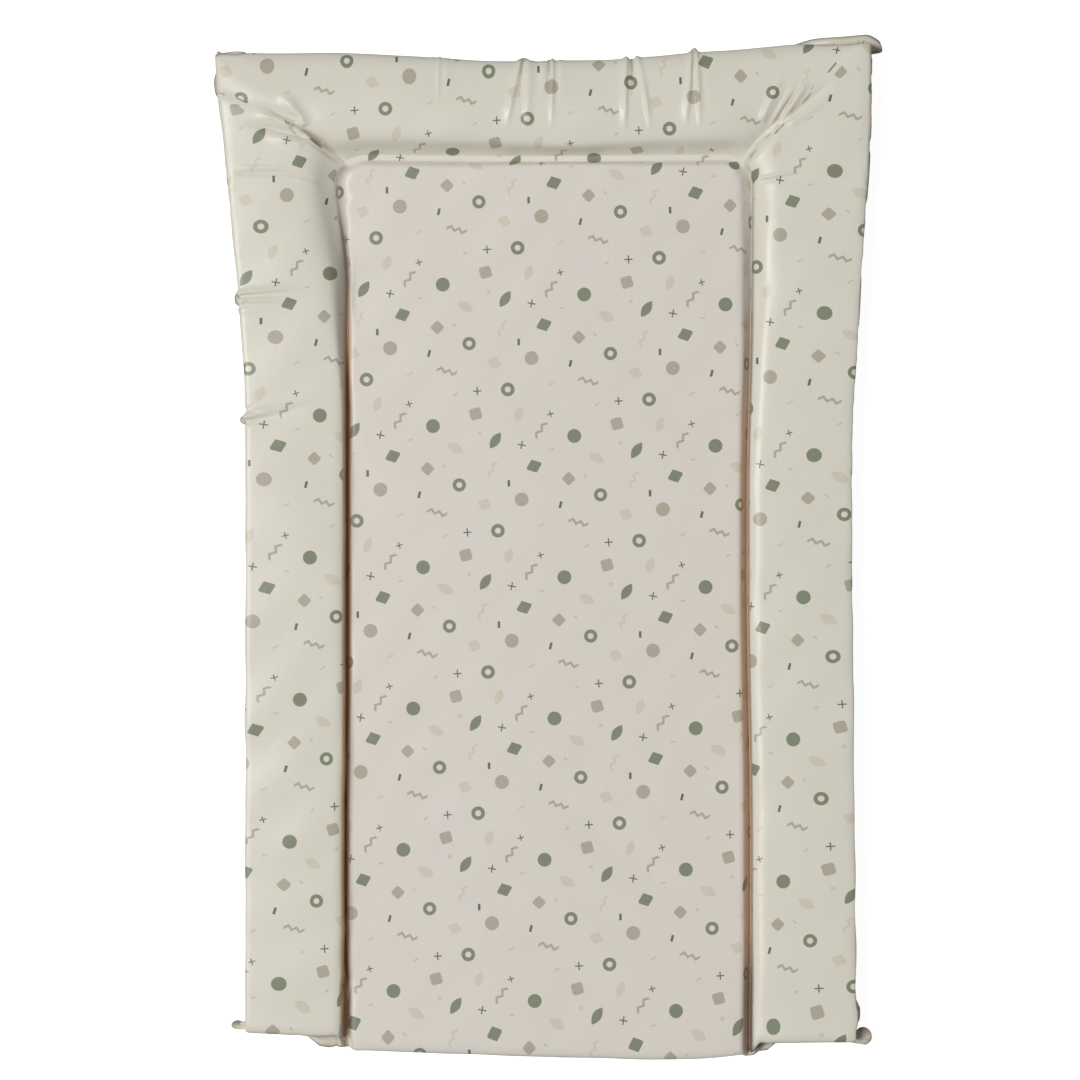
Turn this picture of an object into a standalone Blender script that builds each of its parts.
"""A wipe-clean changing mat: two welded vinyl covers over a foam pad and three raised bolsters.

Metres, +Z up. +Y points to the head end, +X to the right seen from above, and the origin is on the
ground under the middle of the mat. The mat is built in its straight pattern, where every weld is a
straight line: u runs across it and v along it. The plan() function then lays that pattern out as the
real mat lies, with round pad corners, a flared head end and bowed ends.
"""

import math

import bmesh
import bpy

# Driving sizes of the whole mat, in metres

mat_length = 0.800
waist_width = 0.481
bolster_height = 0.049
pad_height = 0.029

# The outline. The head corners stand out past the waist, and the middle of the head edge lies back

head_flare = 0.0205
head_hollow = 0.0145
foot_bow = 0.0075
foot_step = 0.0105
foot_step_reach = 0.020
foot_blend_length = 0.090
head_corner_radius = 0.008
foot_corner_radius = 0.010

# Where the flare starts, up from the middle, and how it grows: shares of the half length, and powers

flare_start_share = 0.08
edge_flare_power = 1.6
channel_flare_power = 2.0

# The welded channel: its middle line, measured in from the side edges and from the head edge

side_bolster_width = 0.0819
head_bolster_width = 0.0852
channel_width = 0.006
channel_corner_radius = 0.0225
channel_corner_fade = 0.030
channel_flare = 0.0035
channel_height = 0.017

# The welded strip round the edge

flange_width = 0.005
pad_flange_height = 0.0145
bolster_flange_height = 0.022
flange_rise_length = 0.030

# The rounded walls of the filled chambers, from the weld to the flat of the top and of the underside

bolster_inner_round = 0.018
pad_side_round = 0.010
outer_round = 0.011
underside_round = 0.0095
pad_crown = 0.002
bolster_crown = 0.0015

# Sheet gauge, and the gap that touching pieces keep

sheet_thickness = 0.0003
touching_gap = 0.0003

# Where the stations of the surface lie on a wall, from the weld to the flat, as shares of its round

inner_wall_shares = (0.12, 0.45, 1.0)
outer_wall_shares = (0.3, 1.0)
pad_wall_shares = (0.3, 1.0)

# Stations between the foot and the head walls, as shares of the mat's length from its middle

mid_row_shares = (-0.28, 0.05, 0.22)

# Sizes worked out from the ones above

half_width = waist_width / 2
half_length = mat_length / 2
channel_half = channel_width / 2
channel_x = half_width - side_bolster_width
channel_y = half_length - head_bolster_width
weld_thickness = 2 * sheet_thickness + touching_gap
filling_inset = sheet_thickness + touching_gap
flare_start = flare_start_share * half_length

# Materials: colour in linear light, roughness, metallic

finishes = {
    "printed_vinyl": ((0.62, 0.60, 0.54, 1.0), 0.38, 0.0),
    "plain_vinyl": ((0.68, 0.67, 0.62, 1.0), 0.42, 0.0),
    "pad_foam": ((0.78, 0.74, 0.58, 1.0), 0.90, 0.0),
    "bolster_foam": ((0.80, 0.79, 0.76, 1.0), 0.95, 0.0),
}


def share_between(value, start, end):
    """How far value has come from start to end, held between 0 and 1."""
    return min(max((value - start) / (end - start), 0.0), 1.0)


def eased(share):
    """The same share with a soft start and a soft end."""
    return share * share * (3 - 2 * share)


# The plan: from the straight pattern to the mat as it lies


def rounded_corner(across, along, radius, fade):
    """Turns square rings about a corner's centre into round ones, and lets them go square past it."""
    ring = max(across, along)
    if min(across, along) <= 0 or ring == 0:
        return across, along
    eighth_turn = math.pi / 4
    if across < along:
        angle = eighth_turn * across / along
    else:
        angle = 2 * eighth_turn - eighth_turn * along / across
    roundness = 1.0
    if ring > radius:
        roundness = 1 - eased(share_between(ring, radius, radius + fade))
    return (
        across + roundness * (ring * math.sin(angle) - across),
        along + roundness * (ring * math.cos(angle) - along),
    )


def plan(u, v):
    """Where the point (u, v) of the straight pattern lies on the ground."""
    side = -1.0 if u < 0 else 1.0
    across = abs(u)
    along = v

    # The pad's head corners, which the channel goes round
    centre_u = channel_x - channel_corner_radius
    centre_v = channel_y - channel_corner_radius
    turned = rounded_corner(
        across - centre_u, along - centre_v, channel_corner_radius, channel_corner_fade
    )
    across, along = turned[0] + centre_u, turned[1] + centre_v

    # The mat's four outer corners
    end = -1.0 if v < 0 else 1.0
    radius = foot_corner_radius if v < 0 else head_corner_radius
    centre_u = half_width - radius
    centre_v = half_length - radius
    turned = rounded_corner(across - centre_u, end * along - centre_v, radius, radius)
    across, along = turned[0] + centre_u, end * (turned[1] + centre_v)

    # The flare towards the head
    flare_share = share_between(along, flare_start, half_length)
    out_share = share_between(across, channel_x, half_width)
    in_share = share_between(across, 0, channel_x)
    flare = channel_flare * in_share * flare_share**channel_flare_power
    flare += (head_flare - channel_flare) * out_share * flare_share**edge_flare_power

    # The hollow head edge, and the foot edge that bows out under the pad
    head_share = share_between(along, channel_y, half_length)
    corner_share = share_between(across, 0, half_width - head_corner_radius)
    hollow = head_hollow * head_share * (1 - corner_share**2)
    foot_share = 1 - share_between(along, -half_length, foot_blend_length - half_length)
    lift = foot_bow * in_share**2
    lift += foot_step * eased(share_between(across, channel_x, channel_x + foot_step_reach))
    return side * (across + flare), along - hollow + lift * foot_share


# The heights of the two covers over the straight pattern


def channel_distance(u, v):
    """Distance from the channel's middle line: above zero on a bolster, below zero on the pad."""
    return max(abs(u) - channel_x, v - channel_y)


def edge_distance(u, v):
    """Distance in from the edge of the mat."""
    return min(half_width - abs(u), half_length - abs(v))


def quarter_round(distance, reach):
    """Height of a quarter round, from 0 at the weld to 1 where the surface turns flat."""
    share = min(max(distance / reach, 0.0), 1.0)
    return math.sqrt(1 - (1 - share) ** 2)


def weld_height(u, v):
    """Height of the joined covers: the channel's, rising or falling to the flange's."""
    distance = channel_distance(u, v)
    flange = bolster_flange_height if distance > 0 else pad_flange_height
    share = eased(share_between(abs(distance), 0, flange_rise_length))
    return channel_height + (flange - channel_height) * share


def fullness(u, v, channel_round, edge_round, inset):
    """From 0 at a weld to 1 where the chamber has its whole thickness."""
    from_channel = abs(channel_distance(u, v)) - channel_half - inset
    from_flange = edge_distance(u, v) - flange_width - inset
    return min(
        quarter_round(from_channel, channel_round), quarter_round(from_flange, edge_round)
    )


def crown(u, v):
    """How far the middle of a chamber stands above its flat: a low dome across its width."""
    distance = channel_distance(u, v)
    if distance <= 0:
        share = min(abs(u) / channel_x, 1.0)
        return pad_crown * (1 - share * share)
    from_edge = edge_distance(u, v)
    share = distance / (distance + from_edge)
    return bolster_crown * 4 * share * (1 - share)


def top_height(u, v, inset=0.0):
    """Outer face of the top cover, or the same form drawn in on all sides by an inset."""
    on_bolster = channel_distance(u, v) > 0
    full_height = bolster_height - bolster_crown if on_bolster else pad_height - pad_crown
    channel_round = bolster_inner_round if on_bolster else pad_side_round
    full = fullness(u, v, channel_round, outer_round, inset)
    low = weld_height(u, v)
    return low + (full_height + crown(u, v) - low) * full - inset


def underside_height(u, v, inset=0.0):
    """Outer face of the bottom cover: flat on the ground, drawn up to the welds."""
    full = fullness(u, v, underside_round, underside_round, inset)
    return (weld_height(u, v) - weld_thickness) * (1 - full) + inset


# The stations of the surfaces, along u and along v


def with_middle(stations):
    """Adds a station halfway between the last two."""
    return stations[:-1] + [(stations[-2] + stations[-1]) / 2, stations[-1]]


def walls_outward(channel_line):
    """Stations from the last flat of the pad, over the channel, to the flat of the bolster."""
    pad_foot = channel_line - channel_half
    bolster_foot = channel_line + channel_half
    stations = [pad_foot - pad_side_round * share for share in reversed(pad_wall_shares)]
    stations += [pad_foot, bolster_foot]
    stations += [bolster_foot + bolster_inner_round * share for share in inner_wall_shares]
    return stations


def walls_to_edge(edge_line):
    """Stations from the last flat of a chamber to the edge of the mat."""
    wall_foot = edge_line - flange_width
    stations = [wall_foot - outer_round * share for share in reversed(outer_wall_shares)]
    return stations + [wall_foot, edge_line]


def half_columns():
    """Stations from the middle of the mat to its right edge."""
    corner_centre = channel_x - channel_corner_radius
    stations = [0.0, corner_centre / 2, corner_centre] + walls_outward(channel_x)
    edge = walls_to_edge(half_width)
    return with_middle(stations + edge[:1]) + edge[1:]


def all_columns():
    right = half_columns()
    return [-station for station in reversed(right[1:])] + right


def all_rows():
    """Stations from the foot edge to the head edge."""
    foot = [-station for station in reversed(walls_to_edge(half_length))]
    middle = [share * mat_length for share in mid_row_shares]
    corner_centre = channel_y - channel_corner_radius
    head = walls_outward(channel_y)
    edge = walls_to_edge(half_length)
    return foot + middle + [corner_centre] + with_middle(head + edge[:1]) + edge[1:]


def stations_between(stations, low, high):
    """The stations inside a filling, closed by its own two ends."""
    margin = touching_gap
    inside = [station for station in stations if low + margin < station < high - margin]
    return [low] + inside + [high]


# The pieces


def material_for(name):
    colour, roughness, metallic = finishes[name]
    material = bpy.data.materials.new(name)
    material.use_nodes = True
    shader = material.node_tree.nodes["Principled BSDF"]
    shader.inputs["Base Color"].default_value = colour
    shader.inputs["Roughness"].default_value = roughness
    shader.inputs["Metallic"].default_value = metallic
    material.diffuse_color = colour
    return material


def pattern_grid(columns, rows):
    """A flat grid whose vertices lie at the stations, as (u, v, 0)."""
    grid = bmesh.new()
    bmesh.ops.create_grid(
        grid, x_segments=len(columns) - 1, y_segments=len(rows) - 1, size=1.0
    )
    for vertex in grid.verts:
        column = round((vertex.co.x + 1) / 2 * (len(columns) - 1))
        row = round((vertex.co.y + 1) / 2 * (len(rows) - 1))
        vertex.co = (columns[column], rows[row], 0.0)
    return grid


def split_along_surface(grid, faces, height):
    """Splits each four-sided face along the diagonal that lies closer to the surface."""
    for face in faces:
        corners = face.verts[:]
        u = sum(vertex.co.x for vertex in corners) / len(corners)
        v = sum(vertex.co.y for vertex in corners) / len(corners)
        middle = height(u, v)
        heights = [height(vertex.co.x, vertex.co.y) for vertex in corners]
        first = abs((heights[0] + heights[2]) / 2 - middle)
        second = abs((heights[1] + heights[3]) / 2 - middle)
        start = 0 if first <= second else 1
        bmesh.utils.face_split(face, corners[start], corners[start + 2])


def lay_out(vertices, height, inset=0.0):
    """Moves vertices from the straight pattern to their places on the mat."""
    for vertex in vertices:
        u, v = vertex.co.x, vertex.co.y
        x, y = plan(u, v)
        vertex.co = (x, y, height(u, v, inset))


def finished_object(name, grid, material, collection):
    mesh = bpy.data.meshes.new(name)
    grid.to_mesh(mesh)
    grid.free()
    mesh.materials.append(material)
    mesh.shade_smooth()
    piece = bpy.data.objects.new(name, mesh)
    collection.objects.link(piece)
    return piece


def cover(name, height, faces_down, material, collection):
    """One vinyl sheet, as an open surface given its gauge towards the fillings."""
    grid = pattern_grid(all_columns(), all_rows())
    split_along_surface(grid, grid.faces[:], height)
    lay_out(grid.verts, height)
    if faces_down:
        bmesh.ops.reverse_faces(grid, faces=grid.faces)
    piece = finished_object(name, grid, material, collection)
    gauge = piece.modifiers.new("sheet gauge", "SOLIDIFY")
    gauge.thickness = sheet_thickness
    gauge.offset = -1.0
    return piece


def filling(name, columns, rows, material, collection):
    """One foam piece: a grid between the covers, drawn in from them, closed by its sides."""
    grid = pattern_grid(columns, rows)
    raised = bmesh.ops.extrude_face_region(grid, geom=grid.faces[:])
    upper = [part for part in raised["geom"] if isinstance(part, bmesh.types.BMVert)]
    lower = [vertex for vertex in grid.verts if vertex not in set(upper)]
    for layer, height in ((set(upper), top_height), (set(lower), underside_height)):
        faces = [face for face in grid.faces if layer.issuperset(face.verts)]
        split_along_surface(grid, faces, height)
    lay_out(upper, top_height, filling_inset)
    lay_out(lower, underside_height, filling_inset)
    bmesh.ops.recalc_face_normals(grid, faces=grid.faces)
    return finished_object(name, grid, material, collection)


def build():
    for old in list(bpy.data.objects):
        bpy.data.objects.remove(old, do_unlink=True)
    collection = bpy.data.collections.new("changing_mat")
    bpy.context.scene.collection.children.link(collection)
    materials = {name: material_for(name) for name in finishes}

    cover("top_cover", top_height, False, materials["printed_vinyl"], collection)
    cover("bottom_cover", underside_height, True, materials["plain_vinyl"], collection)

    columns = all_columns()
    rows = all_rows()

    # How far a filling's own sides stand off the weld beside them
    pad_margin = channel_half + pad_side_round * pad_wall_shares[0] + filling_inset
    bolster_margin = channel_half + bolster_inner_round * inner_wall_shares[0] + filling_inset
    edge_margin = flange_width + outer_round * outer_wall_shares[0] + filling_inset

    foot_end = edge_margin - half_length
    head_end = half_length - edge_margin
    side_end = half_width - edge_margin
    head_bar_start = channel_y + bolster_margin
    side_bar_start = channel_x + bolster_margin
    side_bar_end = head_bar_start - 2 * touching_gap
    pad_side = channel_x - pad_margin

    filling(
        "centre_pad",
        stations_between(columns, -pad_side, pad_side),
        stations_between(rows, foot_end, channel_y - pad_margin),
        materials["pad_foam"],
        collection,
    )
    side_rows = stations_between(rows, foot_end, side_bar_end)
    filling(
        "left_bolster",
        stations_between(columns, -side_end, -side_bar_start),
        side_rows,
        materials["bolster_foam"],
        collection,
    )
    filling(
        "right_bolster",
        stations_between(columns, side_bar_start, side_end),
        side_rows,
        materials["bolster_foam"],
        collection,
    )
    filling(
        "head_bolster",
        stations_between(columns, -side_end, side_end),
        stations_between(rows, head_bar_start, head_end),
        materials["bolster_foam"],
        collection,
    )


build()
